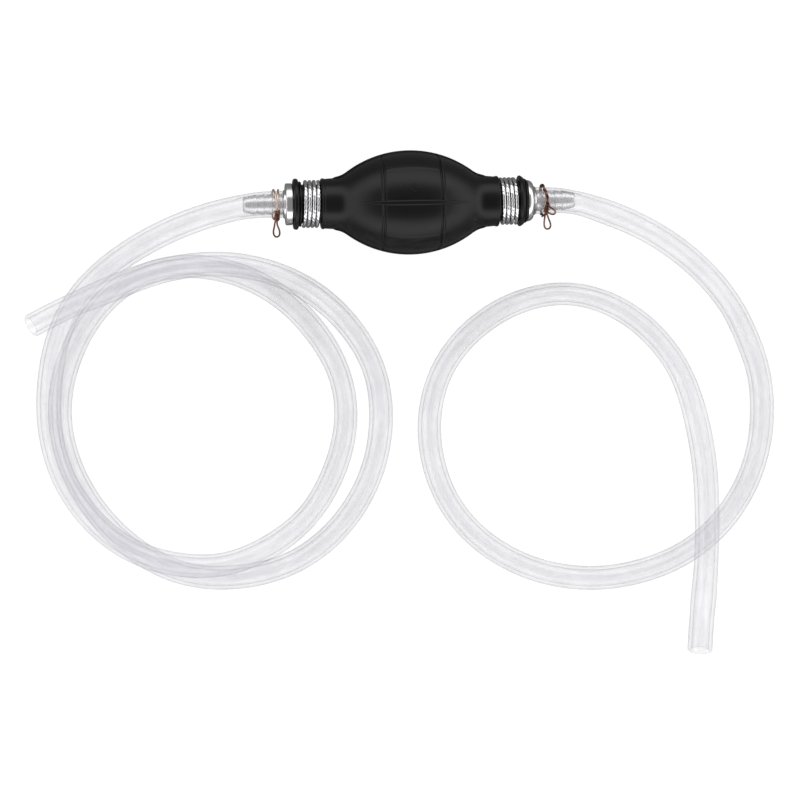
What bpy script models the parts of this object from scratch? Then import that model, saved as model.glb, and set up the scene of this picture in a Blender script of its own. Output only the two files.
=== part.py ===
"""Squeeze-bulb hand siphon: a ribbed rubber bulb with a one-way valve in each neck, bound with
wire onto two barbed metal fittings, and a clear hose tied onto each barb.

Frame: metres, +Z up. The pump's axis runs along X at the height AXIS_Z, the origin is on the
surface under the bulb's middle. Water comes in at +X and leaves at -X. The hoses lie on z = 0.
"""
import math

import bmesh
import bpy
import numpy as np
from mathutils import Vector

MM = 0.001
GAP = 0.3 * MM                     # clearance between pieces that touch on the real object

# bulb
CROWN_RADIUS = 24.6 * MM           # outside of the bulb at its middle, without ribs
CROWN_ARC = 52.0 * MM              # radius of the barrel outline
NECK_RADIUS = 11.9 * MM
NECK_START = 36.5 * MM             # where the barrel has run into the neck
SHOULDER_START = 30.0 * MM
BULB_WALL = 2.6 * MM
RIB_HEIGHT = 0.4 * MM
RIB_HALF_WIDTH = 0.7 * MM
RING_RIB_AT = 14.0 * MM
LONG_RIB_END = 27.0 * MM
RIB_COUNT = 8
AXIS_Z = CROWN_RADIUS + RIB_HEIGHT

# neck, binding and ring, measured from the middle along the axis
BINDING_START = 42.9 * MM
BINDING_END = 52.0 * MM
BOUND_RADIUS = 9.3 * MM            # rubber squeezed under the wire
NECK_BORE = 7.6 * MM
NECK_BORE_START = 37.5 * MM        # where the barrel's inside has run into the bore
LIP_RADIUS = 10.9 * MM
NECK_END = 56.2 * MM
RING_SECTION = 2.5 * MM
RING_RADIUS = 12.3 * MM
RING_SEAT = 9.5 * MM
RING_AT = {1: 53.6 * MM, -1: 54.7 * MM}
WIRE_RADIUS = 0.95 * MM
WIRE_PITCH = 2.07 * MM
WIRE_TURNS = 3.2
WIRE_STEPS = 20                    # points in each turn
WIRE_COIL_RADIUS = BOUND_RADIUS + GAP + WIRE_RADIUS

# squeeze walls, cut from the bulb between the ring ribs
WALL_HALF_LENGTH = 12.4 * MM
WALL_HALF_HEIGHT = 15.0 * MM
WALL_INNER_SIDE = 4.0 * MM

# fitting
SLEEVE_START = 34.6 * MM
SLEEVE_RADIUS = NECK_BORE - GAP
GROOVE_DEPTH = 0.6 * MM
FLANGE_START = NECK_END + GAP
FLANGE_END = 59.6 * MM
FLANGE_RADIUS = 10.0 * MM
HUB_END = 60.6 * MM
HUB_RADIUS = 6.7 * MM
BARB_ROOT = 4.0 * MM
BARB_TOP = 4.6 * MM
BARB_STEPS = (64.0 * MM, 68.0 * MM, 72.0 * MM, 76.0 * MM)
BARB_END = 79.7 * MM
BARB_TIP_RADIUS = 3.3 * MM
BARB_BORE = 2.5 * MM
CHAMBER_START = 36.5 * MM
CHAMBER_END = 55.0 * MM
CHAMBER_RADIUS = 5.6 * MM

# one-way valve
SEAT_THICKNESS = 2.3 * MM
SEAT_HOLE = 2.4 * MM
BALL_RADIUS = 3.5 * MM
RETAINER_THICKNESS = 1.2 * MM
RETAINER_HOLE = 1.3 * MM
RETAINER_PORT = 1.1 * MM
RETAINER_PORT_AT = 3.7 * MM
SPRING_RADIUS = 2.2 * MM
SPRING_WIRE = 0.25 * MM
SPRING_TURNS = 4.0

# hoses and their wire clips
HOSE_RADIUS = 6.35 * MM
HOSE_STEP = 25.4 * MM              # two diameters
HOSE_START = HUB_END + 0.4 * MM
SOCKET_STATIONS = (0.0, 9.0 * MM, 18.0 * MM)
CLIP_AT = 64.4 * MM
CLIP_WIRE = 0.5 * MM
CLIP_PITCH = 1.5 * MM

# routes of the hoses from the fittings to their free ends, in millimetres
INLET_ROUTE = (
    (61.0, 0.0, 25.0), (70.0, 0.0, 25.0), (80.0, -1.2, 24.4), (93.0, -5.0, 22.2),
    (108.0, -10.8, 18.8), (123.0, -18.6, 15.2), (138.5, -29.6, 11.8), (151.3, -42.0, 9.2),
    (161.0, -55.0, 7.4), (168.3, -70.0, 6.6), (173.5, -86.0, 6.5), (175.2, -105.0, 6.5),
    (173.5, -122.0, 6.5), (167.5, -140.0, 6.5), (155.5, -158.5, 6.5), (139.0, -172.7, 6.5),
    (117.0, -182.2, 6.5), (89.0, -185.8, 6.5), (62.0, -180.9, 6.5), (39.0, -168.8, 6.5),
    (21.6, -150.5, 6.5), (11.8, -127.0, 6.5), (10.5, -103.0, 6.5), (17.0, -81.5, 6.5),
    (33.0, -62.0, 6.5), (55.5, -49.2, 6.5), (79.0, -45.8, 6.5), (102.0, -52.3, 6.5),
    (121.0, -66.5, 6.7), (134.0, -85.0, 8.4), (141.0, -108.0, 12.8), (144.0, -132.0, 18.0),
    (144.4, -154.0, 20.8), (144.2, -173.0, 20.0), (143.8, -191.0, 15.8), (143.4, -208.0, 10.4),
    (143.0, -223.2, 7.2),
)
OUTLET_ROUTE = (
    (-61.0, 0.0, 25.0), (-70.0, 0.0, 25.0), (-81.0, -1.2, 24.4), (-100.0, -5.9, 22.4),
    (-120.0, -13.9, 19.8), (-141.0, -26.4, 17.0), (-157.0, -40.8, 15.6), (-167.3, -58.0, 17.0),
    (-172.8, -80.0, 19.0), (-173.8, -102.0, 19.2), (-169.0, -125.5, 19.2), (-157.0, -146.5, 19.6),
    (-138.5, -163.0, 20.0), (-114.0, -172.0, 20.0), (-91.0, -172.5, 18.4), (-70.0, -165.4, 14.6),
    (-50.0, -150.8, 9.0), (-37.0, -130.0, 6.6), (-31.0, -107.0, 6.5), (-32.8, -85.6, 6.5),
    (-44.0, -63.0, 6.5), (-63.0, -43.6, 6.5), (-88.0, -31.7, 6.5), (-112.0, -29.5, 6.5),
    (-134.0, -36.2, 6.5), (-152.5, -52.5, 6.5), (-164.2, -74.0, 6.5), (-168.9, -98.0, 6.5),
    (-165.0, -122.5, 6.5), (-153.0, -146.0, 6.5), (-133.0, -166.5, 6.5), (-109.0, -178.5, 6.5),
    (-84.0, -180.4, 6.5), (-58.0, -174.2, 6.5), (-35.0, -157.5, 6.5), (-19.4, -133.0, 6.5),
    (-13.6, -106.0, 6.5), (-17.0, -80.0, 6.6), (-31.0, -56.5, 9.0), (-51.0, -39.8, 15.2),
    (-74.0, -30.4, 19.8), (-98.0, -28.0, 20.8), (-122.0, -31.5, 23.8), (-144.0, -39.0, 27.8),
    (-160.0, -45.4, 30.2), (-171.0, -50.4, 29.4), (-181.3, -55.7, 26.6),
)

SIDES = {"inlet": 1, "outlet": -1}


# ---------------------------------------------------------------- helpers

def clear_scene():
    for obj in list(bpy.data.objects):
        bpy.data.objects.remove(obj, do_unlink=True)


def material(name, color, roughness, metallic=0.0, alpha=1.0):
    found = bpy.data.materials.get(name)
    if found:
        return found
    mat = bpy.data.materials.new(name)
    mat.use_nodes = True
    shader = mat.node_tree.nodes["Principled BSDF"]
    shader.inputs["Base Color"].default_value = (*color, 1.0)
    shader.inputs["Roughness"].default_value = roughness
    shader.inputs["Metallic"].default_value = metallic
    shader.inputs["Alpha"].default_value = alpha
    return mat


def rubber(name):
    return material(name, (0.022, 0.022, 0.024), 0.45)


def aluminium(name):
    return material(name, (0.78, 0.79, 0.80), 0.25, metallic=1.0)


def steel(name):
    return material(name, (0.62, 0.63, 0.65), 0.18, metallic=1.0)


def add_object(name, data, mat, parent, location=(0.0, 0.0, 0.0)):
    data.materials.append(mat)
    obj = bpy.data.objects.new(name, data)
    obj.location = location
    obj.parent = parent
    bpy.context.scene.collection.objects.link(obj)
    return obj


def finished_mesh(name, bm):
    bmesh.ops.recalc_face_normals(bm, faces=bm.faces)
    mesh = bpy.data.meshes.new(name)
    bm.to_mesh(mesh)
    bm.free()
    mesh.shade_smooth()
    mesh.set_sharp_from_angle(angle=math.radians(35.0))
    return mesh


def turned_mesh(name, profile, steps=24):
    """A ring turned about X from a closed outline of (distance along the axis, radius)."""
    bm = bmesh.new()
    verts = [bm.verts.new((x, radius, 0.0)) for x, radius in profile]
    edges = [bm.edges.new((verts[i - 1], verts[i])) for i in range(len(verts))]
    bmesh.ops.spin(bm, geom=verts + edges, cent=(0, 0, 0), axis=(1, 0, 0),
                   angle=2.0 * math.pi, steps=steps, use_merge=True)
    return finished_mesh(name, bm)


def on_side(profile, side):
    return [(side * x, radius) for x, radius in profile]


def wire_object(name, points, radius, mat, parent, sides_resolution=1):
    """A round wire along a list of points, with closed ends."""
    curve = bpy.data.curves.new(name, "CURVE")
    curve.dimensions = "3D"
    curve.fill_mode = "FULL"
    curve.bevel_depth = radius
    curve.bevel_resolution = sides_resolution
    curve.use_fill_caps = True
    spline = curve.splines.new("POLY")
    spline.points.add(len(points) - 1)
    for point, place in zip(spline.points, points):
        point.co = (*place, 1.0)
    return add_object(name, curve, mat, parent)


def box_cutter(name, low, high, parent):
    bm = bmesh.new()
    bmesh.ops.create_cube(bm, size=1.0)
    size = Vector(high) - Vector(low)
    middle = (Vector(high) + Vector(low)) / 2.0
    for vert in bm.verts:
        vert.co = Vector(a * b for a, b in zip(vert.co, size)) + middle
    return guide_object(name, finished_mesh(name, bm), parent)


def guide_object(name, mesh, parent, location=(0.0, 0.0, 0.0)):
    obj = bpy.data.objects.new(name, mesh)
    obj.parent = parent
    obj.location = location
    obj.hide_render = True
    obj.display_type = "WIRE"
    bpy.context.scene.collection.objects.link(obj)
    return obj


def boolean(obj, cutter, operation):
    modifier = obj.modifiers.new(cutter.name, "BOOLEAN")
    modifier.object = cutter
    modifier.operation = operation
    modifier.solver = "EXACT"


# ---------------------------------------------------------------- bulb

def crown_radius(x):
    """Outside radius of the barrel arc at a distance x from the middle."""
    return CROWN_RADIUS - CROWN_ARC + math.sqrt(CROWN_ARC ** 2 - x * x)


def outer_radius(x):
    x = abs(x)
    if x <= SHOULDER_START:
        return crown_radius(x)
    if x >= NECK_START:
        return NECK_RADIUS
    along = (x - SHOULDER_START) / (NECK_START - SHOULDER_START)
    slope = -SHOULDER_START / math.sqrt(CROWN_ARC ** 2 - SHOULDER_START ** 2)
    start = crown_radius(SHOULDER_START)
    width = (NECK_START - SHOULDER_START) * slope
    return (start * (1 + 2 * along) * (1 - along) ** 2 + width * along * (1 - along) ** 2
            + NECK_RADIUS * along * along * (3 - 2 * along))


def inner_radius(x):
    return NECK_BORE if x >= NECK_BORE_START else outer_radius(x) - BULB_WALL


def bulb_half_outline(side):
    """Outside of one half of the bulb, from next to the middle to the neck's end face."""
    rib = RIB_HALF_WIDTH
    barrel = [7.0 * MM, RING_RIB_AT - rib]
    barrel += [RING_RIB_AT, RING_RIB_AT + rib, 19.0 * MM, 24.5 * MM, 30.0 * MM, 33.0 * MM, NECK_START]
    points = [(x, outer_radius(x) + (RIB_HEIGHT if x == RING_RIB_AT else 0.0)) for x in barrel]
    seat_start = RING_AT[side] - RING_SECTION / 2 - GAP
    seat_end = RING_AT[side] + RING_SECTION / 2 + GAP
    points += [(BINDING_START - GAP, NECK_RADIUS), (BINDING_START, BOUND_RADIUS),
               (BINDING_END - GAP, BOUND_RADIUS)]
    if side < 0:
        points += [(BINDING_END + GAP, LIP_RADIUS), (seat_start, LIP_RADIUS), (seat_start, RING_SEAT),
                   (NECK_END, RING_SEAT)]
    else:
        points += [(seat_start, RING_SEAT), (seat_end, RING_SEAT), (seat_end, LIP_RADIUS),
                   (NECK_END, LIP_RADIUS - 3 * GAP)]
    return on_side(points, side)


def bulb_outlines():
    """Outside of the bulb from -X to +X, and its inside from +X back to -X."""
    outside = bulb_half_outline(-1)[::-1] + [(0.0, CROWN_RADIUS)] + bulb_half_outline(1)
    inside_at = [NECK_END, NECK_BORE_START, 34.0 * MM, 28.0 * MM, 21.0 * MM, 14.0 * MM, 7.0 * MM]
    inside = [(x, inner_radius(x)) for x in inside_at]
    return outside, inside + [(0.0, inner_radius(0.0))] + on_side(inside, -1)[::-1]


def long_rib_height(x, rib):
    """Height of a lengthwise rib: every second one stops at the ring ribs."""
    end = RING_RIB_AT if rib % 2 else LONG_RIB_END
    return RIB_HEIGHT if abs(x) <= end else 0.0


def bulb_mesh():
    """The hollow barrel, with three columns of points on each lengthwise rib."""
    outside, inside = bulb_outlines()
    outline = outside + inside
    bm = bmesh.new()
    columns = []
    for rib in range(RIB_COUNT):
        middle = 2.0 * math.pi * rib / RIB_COUNT
        edge = RIB_HALF_WIDTH / CROWN_RADIUS
        free = 2.0 * math.pi / RIB_COUNT - 2.0 * edge
        angles = [middle - edge, middle, middle + edge]
        angles += [middle + edge + free * part / 4.0 for part in (1, 2, 3)]
        for number, angle in enumerate(angles):
            column = []
            for index, (x, radius) in enumerate(outline):
                if number == 1 and index < len(outside) and abs(x) < NECK_START:
                    radius = max(radius, outer_radius(x) + long_rib_height(x, rib))
                column.append(bm.verts.new((x, radius * math.cos(angle), radius * math.sin(angle))))
            columns.append(column)
    count = len(outline)
    for number, column in enumerate(columns):
        before = columns[number - 1]
        for i in range(count):
            j = (i + 1) % count
            bm.faces.new((before[i], before[j], column[j], column[i]))
    return finished_mesh("rubber_bulb", bm)


def make_bulb(pump):
    bulb = add_object("rubber_bulb", bulb_mesh(), rubber("bulb_rubber"), pump)
    for name, way in (("front", -1), ("back", 1)):
        far = way * (AXIS_Z + GAP)
        near = way * WALL_INNER_SIDE
        low_y, high_y = sorted((far, near))
        x, z = WALL_HALF_LENGTH + GAP, WALL_HALF_HEIGHT + GAP
        window = box_cutter(f"{name}_window", (-x, low_y, -z), (x, high_y, z), pump)
        boolean(bulb, window, "DIFFERENCE")
        x, z = WALL_HALF_LENGTH, WALL_HALF_HEIGHT
        piece = box_cutter(f"{name}_wall_outline", (-x, low_y, -z), (x, high_y, z), pump)
        wall_name = f"squeeze_wall_{name}"
        wall = add_object(wall_name, bulb_mesh(), rubber("wall_rubber"), pump)
        boolean(wall, piece, "INTERSECT")


# ---------------------------------------------------------------- necks and fittings

def make_neck_ring(name, side, pump):
    half = RING_SECTION / 2
    inner = RING_SEAT + GAP
    corner = 0.7 * MM
    at = RING_AT[side]
    outline = [(at - half, inner), (at + half, inner), (at + half, RING_RADIUS - corner),
               (at + half - corner, RING_RADIUS), (at - half + corner, RING_RADIUS),
               (at - half, RING_RADIUS - corner)]
    mesh = turned_mesh(f"{name}_neck_ring", on_side(outline, side), steps=32)
    add_object(f"{name}_neck_ring", mesh, rubber("ring_rubber"), pump)


def make_binding(name, side, pump):
    """Spring wire wound tightly round the neck, both ends tucked below."""
    steps = round(WIRE_TURNS * WIRE_STEPS)
    length = WIRE_TURNS * WIRE_PITCH
    middle = (BINDING_START + BINDING_END) / 2
    points = []
    for i in range(steps + 1):
        part = i / steps - 0.5
        angle = math.pi / 2 + math.pi + part * WIRE_TURNS * 2.0 * math.pi
        points.append((side * (middle + part * length), WIRE_COIL_RADIUS * math.cos(angle),
                       WIRE_COIL_RADIUS * math.sin(angle)))
    wire_object(f"{name}_wire_binding", points, WIRE_RADIUS, steel("binding_wire"), pump)


def barb_outline():
    points = [(HUB_END, BARB_ROOT)]
    for step in BARB_STEPS:
        points += [(step - GAP, BARB_TOP), (step, BARB_ROOT)]
    return points + [(BARB_END, BARB_TIP_RADIUS)]


def fitting_outline():
    groove = SLEEVE_RADIUS - GROOVE_DEPTH
    outside = [(SLEEVE_START, SLEEVE_RADIUS - GROOVE_DEPTH), (SLEEVE_START + 1.0 * MM, SLEEVE_RADIUS)]
    for start in (44.5 * MM, 48.5 * MM):
        outside += [(start, SLEEVE_RADIUS), (start + GAP, groove), (start + 1.8 * MM, groove),
                    (start + 1.8 * MM + GAP, SLEEVE_RADIUS)]
    corner = 0.5 * MM
    outside += [(FLANGE_START, SLEEVE_RADIUS), (FLANGE_START, FLANGE_RADIUS - corner),
                (FLANGE_START + corner, FLANGE_RADIUS), (FLANGE_END - corner, FLANGE_RADIUS),
                (FLANGE_END, FLANGE_RADIUS - corner), (FLANGE_END, HUB_RADIUS), (HUB_END, HUB_RADIUS)]
    inside = [(BARB_END, BARB_BORE), (CHAMBER_END, BARB_BORE), (CHAMBER_END, CHAMBER_RADIUS),
              (SLEEVE_START, CHAMBER_RADIUS)]
    return outside + barb_outline() + inside


def make_fitting(name, side, pump):
    mesh = turned_mesh(f"{name}_fitting", on_side(fitting_outline(), side), steps=28)
    add_object(f"{name}_fitting", mesh, aluminium("fitting_metal"), pump)


# ---------------------------------------------------------------- valves

def valve_layout(side):
    """Places along the axis of the seat's two faces, the ball, and the spring's two ends.

    The water flows towards -X in both valves, so each ball lifts towards -X off a seat at its
    +X side. Distances are signed positions on X.
    """
    if side > 0:
        seat_far = CHAMBER_END - GAP
        seat_near = seat_far - SEAT_THICKNESS
        retainer = CHAMBER_START + RETAINER_THICKNESS
    else:
        seat_far = -CHAMBER_START
        seat_near = seat_far - SEAT_THICKNESS
        retainer = -(CHAMBER_END - GAP - RETAINER_THICKNESS)
    ball = seat_near - math.sqrt((BALL_RADIUS + GAP) ** 2 - SEAT_HOLE ** 2)
    on_ball = ball - math.sqrt(BALL_RADIUS ** 2 - SPRING_RADIUS ** 2) - SPRING_WIRE - GAP
    on_retainer = retainer + SPRING_WIRE + GAP
    return seat_near, seat_far, ball, on_ball, on_retainer, retainer


def make_seat(name, near, far, pump):
    outer = CHAMBER_RADIUS - GAP
    outline = [(near, SEAT_HOLE), (near, outer), (far, outer), (far, SEAT_HOLE + GAP)]
    mesh = turned_mesh(f"{name}_valve_seat", outline)
    add_object(f"{name}_valve_seat", mesh, rubber("seat_rubber"), pump)


def make_ball(name, at, pump):
    bm = bmesh.new()
    bmesh.ops.create_icosphere(bm, subdivisions=3, radius=BALL_RADIUS)
    mesh = finished_mesh(f"{name}_valve_ball", bm)
    add_object(f"{name}_valve_ball", mesh, steel("ball_steel"), pump, location=(at, 0.0, 0.0))


def make_spring(name, start, end, pump):
    steps = round(SPRING_TURNS * 10)
    points = []
    for i in range(steps + 1):
        part = i / steps
        angle = part * SPRING_TURNS * 2.0 * math.pi
        points.append((start + (end - start) * part, SPRING_RADIUS * math.cos(angle),
                       SPRING_RADIUS * math.sin(angle)))
    wire_object(f"{name}_valve_spring", points, SPRING_WIRE, steel("spring_steel"), pump)


def make_retainer(name, face, pump):
    """The disc that the spring rests on, with four ports for the water."""
    outer = CHAMBER_RADIUS - GAP
    back = face - RETAINER_THICKNESS
    outline = [(back, RETAINER_HOLE), (back, outer), (face, outer), (face, RETAINER_HOLE)]
    mesh = turned_mesh(f"{name}_spring_retainer", outline)
    disc = add_object(f"{name}_spring_retainer", mesh, aluminium("retainer_metal"), pump)
    for number in range(4):
        angle = math.pi / 4 + number * math.pi / 2
        bm = bmesh.new()
        bmesh.ops.create_cone(bm, cap_ends=True, segments=10, radius1=RETAINER_PORT,
                              radius2=RETAINER_PORT, depth=4 * RETAINER_THICKNESS)
        bmesh.ops.rotate(bm, verts=bm.verts, matrix=Vector((0, 0, 1)).rotation_difference(
            Vector((1, 0, 0))).to_matrix())
        port_name = f"{name}_port_{number + 1}"
        place = ((face + back) / 2, RETAINER_PORT_AT * math.cos(angle), RETAINER_PORT_AT * math.sin(angle))
        port = guide_object(port_name, finished_mesh(port_name, bm), pump, place)
        boolean(disc, port, "DIFFERENCE")


def make_valve(name, side, pump):
    near, far, ball, on_ball, on_retainer, retainer = valve_layout(side)
    make_seat(name, near, far, pump)
    make_ball(name, ball, pump)
    make_spring(name, on_ball, on_retainer, pump)
    make_retainer(name, retainer, pump)


# ---------------------------------------------------------------- hoses and clips

def smooth_curve(route):
    """A natural cubic spline through the route's points, sampled finely."""
    points = np.array(route, dtype=float) * MM
    chord = np.linalg.norm(np.diff(points, axis=0), axis=1)
    at = np.concatenate([[0.0], np.cumsum(chord)])
    count = len(points)
    matrix = np.zeros((count, count))
    right = np.zeros((count, 3))
    matrix[0, 0] = matrix[-1, -1] = 1.0
    for i in range(1, count - 1):
        matrix[i, i - 1:i + 2] = chord[i - 1], 2.0 * (chord[i - 1] + chord[i]), chord[i]
        right[i] = 6.0 * ((points[i + 1] - points[i]) / chord[i] - (points[i] - points[i - 1]) / chord[i - 1])
    bend = np.linalg.solve(matrix, right)
    fine = np.linspace(0.0, at[-1], int(at[-1] / MM) + 1)
    i = np.clip(np.searchsorted(at, fine, side="right") - 1, 0, count - 2)
    width = chord[i][:, None]
    a = (at[i + 1] - fine)[:, None] / width
    b = 1.0 - a
    cubic = ((a ** 3 - a) * bend[i] + (b ** 3 - b) * bend[i + 1]) * width ** 2 / 6.0
    return a * points[i] + b * points[i + 1] + cubic


def hose_points(route):
    """Points on the smooth curve: close together over the barb, then evenly spaced."""
    curve = smooth_curve(route)
    length = np.concatenate([[0.0], np.cumsum(np.linalg.norm(np.diff(curve, axis=0), axis=1))])
    rest = length[-1] - SOCKET_STATIONS[-1]
    even = np.linspace(SOCKET_STATIONS[-1], length[-1], round(rest / HOSE_STEP) + 1)[1:]
    stations = np.concatenate([SOCKET_STATIONS, even])
    return [Vector(np.interp(stations, length, curve[:, k])[i] for k in range(3)) for i in range(len(stations))]


def make_hose(name, side, route):
    """The hose as a plain round bar, bored where it is pushed over the barb."""
    clear = material("clear_hose", (0.86, 0.87, 0.90), 0.12, alpha=0.45)
    bar = wire_object(f"{name}_bar", hose_points(route), HOSE_RADIUS, clear, None, sides_resolution=3)
    mesh = bpy.data.meshes.new_from_object(bar)
    bpy.data.objects.remove(bar, do_unlink=True)
    mesh.materials.clear()
    hose = add_object(f"{name}_hose", mesh, clear, None)
    wide = BARB_TOP + GAP
    outline = [(HOSE_START - 2 * MM, BARB_BORE), (HOSE_START - 2 * MM, wide), (BARB_STEPS[-1] + GAP, wide),
               (BARB_END + GAP, BARB_TIP_RADIUS + 2 * GAP), (BARB_END + GAP, BARB_BORE)]
    closed = [(x, 0.0 if radius == BARB_BORE else radius) for x, radius in outline]
    socket_name = f"{name}_socket"
    socket = guide_object(socket_name, plug_mesh(socket_name, closed, side), None, (0.0, 0.0, AXIS_Z))
    boolean(hose, socket, "DIFFERENCE")


def plug_mesh(name, outline, side):
    """A solid turned body: the first and last points of the outline are on the axis."""
    steps = 20
    bm = bmesh.new()
    rings = []
    for x, radius in outline[1:-1]:
        angles = [2.0 * math.pi * i / steps for i in range(steps)]
        rings.append([bm.verts.new((side * x, radius * math.cos(a), radius * math.sin(a))) for a in angles])
    for first, second in zip(rings, rings[1:]):
        for i in range(steps):
            bm.faces.new((first[i - 1], first[i], second[i], second[i - 1]))
    bm.faces.new(rings[0])
    bm.faces.new(rings[-1])
    return finished_mesh(name, bm)


def clip_points(side):
    """One wire: once round the hose, then out to a drop-shaped loop at the front."""
    radius = HOSE_RADIUS + GAP + CLIP_WIRE
    lift = math.radians(35.0)
    steps = 20
    points = []
    for i in range(steps + 1):
        angle = lift + 2.0 * math.pi * i / steps
        x = side * CLIP_AT + (i / steps - 0.5) * CLIP_PITCH
        points.append((x, -radius * math.cos(angle), radius * math.sin(angle)))
    end_x = side * CLIP_AT + 0.5 * CLIP_PITCH
    middle_x = side * CLIP_AT
    front_y = -radius * math.cos(lift)
    z = radius * math.sin(lift)
    points.append((end_x, front_y - 1.6 * MM, z - 0.8 * MM))
    drop_steps = 10
    for i in range(drop_steps + 1):
        angle = math.radians(70.0) - math.radians(320.0) * i / drop_steps
        x = middle_x + 1.7 * MM * math.cos(angle)
        along = 2.6 * MM * math.sin(angle)
        points.append((x, front_y - 6.4 * MM + along, z - 3.6 * MM + 0.45 * along))
    points.append((middle_x - 0.5 * CLIP_PITCH, front_y - 1.8 * MM, z - 0.9 * MM))
    return points


def make_clip(name, side, pump):
    copper = material("clip_wire", (0.62, 0.36, 0.25), 0.3, metallic=1.0)
    wire_object(f"{name}_hose_clip", clip_points(side), CLIP_WIRE, copper, pump)


# ---------------------------------------------------------------- assembly

def main():
    clear_scene()
    pump = bpy.data.objects.new("pump_axis", None)
    pump.location = (0.0, 0.0, AXIS_Z)
    bpy.context.scene.collection.objects.link(pump)
    make_bulb(pump)
    routes = {"inlet": INLET_ROUTE, "outlet": OUTLET_ROUTE}
    for name, side in SIDES.items():
        make_neck_ring(name, side, pump)
        make_binding(name, side, pump)
        make_fitting(name, side, pump)
        make_valve(name, side, pump)
        make_clip(name, side, pump)
        make_hose(name, side, routes[name])


main()
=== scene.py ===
"""Looks for the squeeze-bulb hand siphon: skin, fittings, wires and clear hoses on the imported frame."""

import math
from collections import namedtuple

import bpy
import numpy as np
from mathutils import Matrix, Vector


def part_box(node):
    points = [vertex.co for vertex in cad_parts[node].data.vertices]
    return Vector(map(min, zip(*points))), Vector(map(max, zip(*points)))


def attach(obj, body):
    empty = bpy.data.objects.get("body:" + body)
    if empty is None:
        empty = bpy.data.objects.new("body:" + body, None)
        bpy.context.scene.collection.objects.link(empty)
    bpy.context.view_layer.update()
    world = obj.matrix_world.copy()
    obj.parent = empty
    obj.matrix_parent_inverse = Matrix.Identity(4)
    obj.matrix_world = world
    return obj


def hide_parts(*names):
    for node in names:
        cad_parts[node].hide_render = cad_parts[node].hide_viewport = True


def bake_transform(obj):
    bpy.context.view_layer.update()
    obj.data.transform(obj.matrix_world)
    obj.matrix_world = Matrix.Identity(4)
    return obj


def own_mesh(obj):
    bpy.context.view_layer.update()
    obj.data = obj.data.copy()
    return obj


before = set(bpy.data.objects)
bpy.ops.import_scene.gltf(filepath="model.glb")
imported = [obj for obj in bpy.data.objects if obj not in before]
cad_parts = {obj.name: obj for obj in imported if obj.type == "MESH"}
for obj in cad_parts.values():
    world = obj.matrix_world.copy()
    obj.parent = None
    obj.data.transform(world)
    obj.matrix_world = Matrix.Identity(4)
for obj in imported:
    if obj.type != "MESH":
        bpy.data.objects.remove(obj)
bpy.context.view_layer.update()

MM = 0.001
ROOT = "pump_body"
BULB_LOW, BULB_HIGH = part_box("rubber_bulb")
AXIS_Z = (BULB_LOW.z + BULB_HIGH.z) / 2.0
SIDES = {"inlet": 1, "outlet": -1}


# ================================================================ camera

CAMERA_PLACE = Vector((-151.566, 5.0, 1467.057)) * MM
CAMERA_TARGET = Vector((-3.492, -96.430, 0.0)) * MM
CAMERA_ROLL = math.radians(-0.84)
CAMERA_SENSOR = 36.0               # millimetres, as is the lens
CAMERA_LENS = 135.94


def make_camera():
    """A long lens nearly straight above the object, rolled slightly about its line of sight."""
    ahead = (CAMERA_TARGET - CAMERA_PLACE).normalized()
    right = ahead.cross(Vector((0.0, 1.0, 0.0))).normalized()
    above = right.cross(ahead)
    turned_right = right * math.cos(CAMERA_ROLL) + above * math.sin(CAMERA_ROLL)
    turned_above = above * math.cos(CAMERA_ROLL) - right * math.sin(CAMERA_ROLL)
    data = bpy.data.cameras.new("camera")
    data.sensor_width = CAMERA_SENSOR
    data.lens = CAMERA_LENS
    camera = bpy.data.objects.new("camera", data)
    columns = Matrix((turned_right, turned_above, -ahead)).transposed()
    camera.matrix_world = Matrix.Translation(CAMERA_PLACE) @ columns.to_4x4()
    bpy.context.scene.collection.objects.link(camera)
    bpy.context.scene.camera = camera


# ================================================================ node helpers

class Nodes:
    """Short hand for building one node tree."""

    def __init__(self, tree):
        self.tree = tree
        self.tree.nodes.clear()

    def add(self, kind, values=(), **settings):
        """A node with its settings, and its inputs set or linked by name or number."""
        node = self.tree.nodes.new(kind)
        for name, value in settings.items():
            setattr(node, name, value)
        for name, value in dict(values).items():
            if isinstance(value, bpy.types.NodeSocket):
                self.tree.links.new(value, node.inputs[name])
            else:
                node.inputs[name].default_value = value
        return node

    def math(self, operation, *values, clamp=False):
        inputs = dict(enumerate(values))
        return self.add("ShaderNodeMath", inputs, operation=operation, use_clamp=clamp).outputs[0]

    def ramp(self, factor, *stops):
        """A ramp through (position, colour) stops, where a colour may be one grey number."""
        node = self.add("ShaderNodeValToRGB", {"Fac": factor})
        elements = node.color_ramp.elements
        while len(elements) < len(stops):
            elements.new(0.5)
        for element, (position, color) in zip(elements, stops):
            element.position = position
            element.color = (*color, 1.0) if hasattr(color, "__len__") else (color, color, color, 1.0)
        return node.outputs["Color"]

    def stretched(self, coordinates, scale):
        return self.add("ShaderNodeMapping", {"Vector": coordinates, "Scale": scale}).outputs["Vector"]

    def noise(self, coordinates, scale, detail=4.0, roughness=0.5):
        values = {"Vector": coordinates, "Scale": scale, "Detail": detail, "Roughness": roughness}
        return self.add("ShaderNodeTexNoise", values).outputs["Fac"]

    def bump(self, height, strength, distance, normal=None):
        values = {"Height": height, "Strength": strength, "Distance": distance}
        if normal is not None:
            values["Normal"] = normal
        return self.add("ShaderNodeBump", values).outputs["Normal"]


def new_material(name):
    material = bpy.data.materials.new(name)
    material.use_nodes = True
    return material, Nodes(material.node_tree)


def surface(nodes, shader):
    nodes.add("ShaderNodeOutputMaterial", {"Surface": shader.outputs[0]})


def object_coordinates(nodes):
    return nodes.add("ShaderNodeTexCoord").outputs["Object"]


# ================================================================ materials

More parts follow.
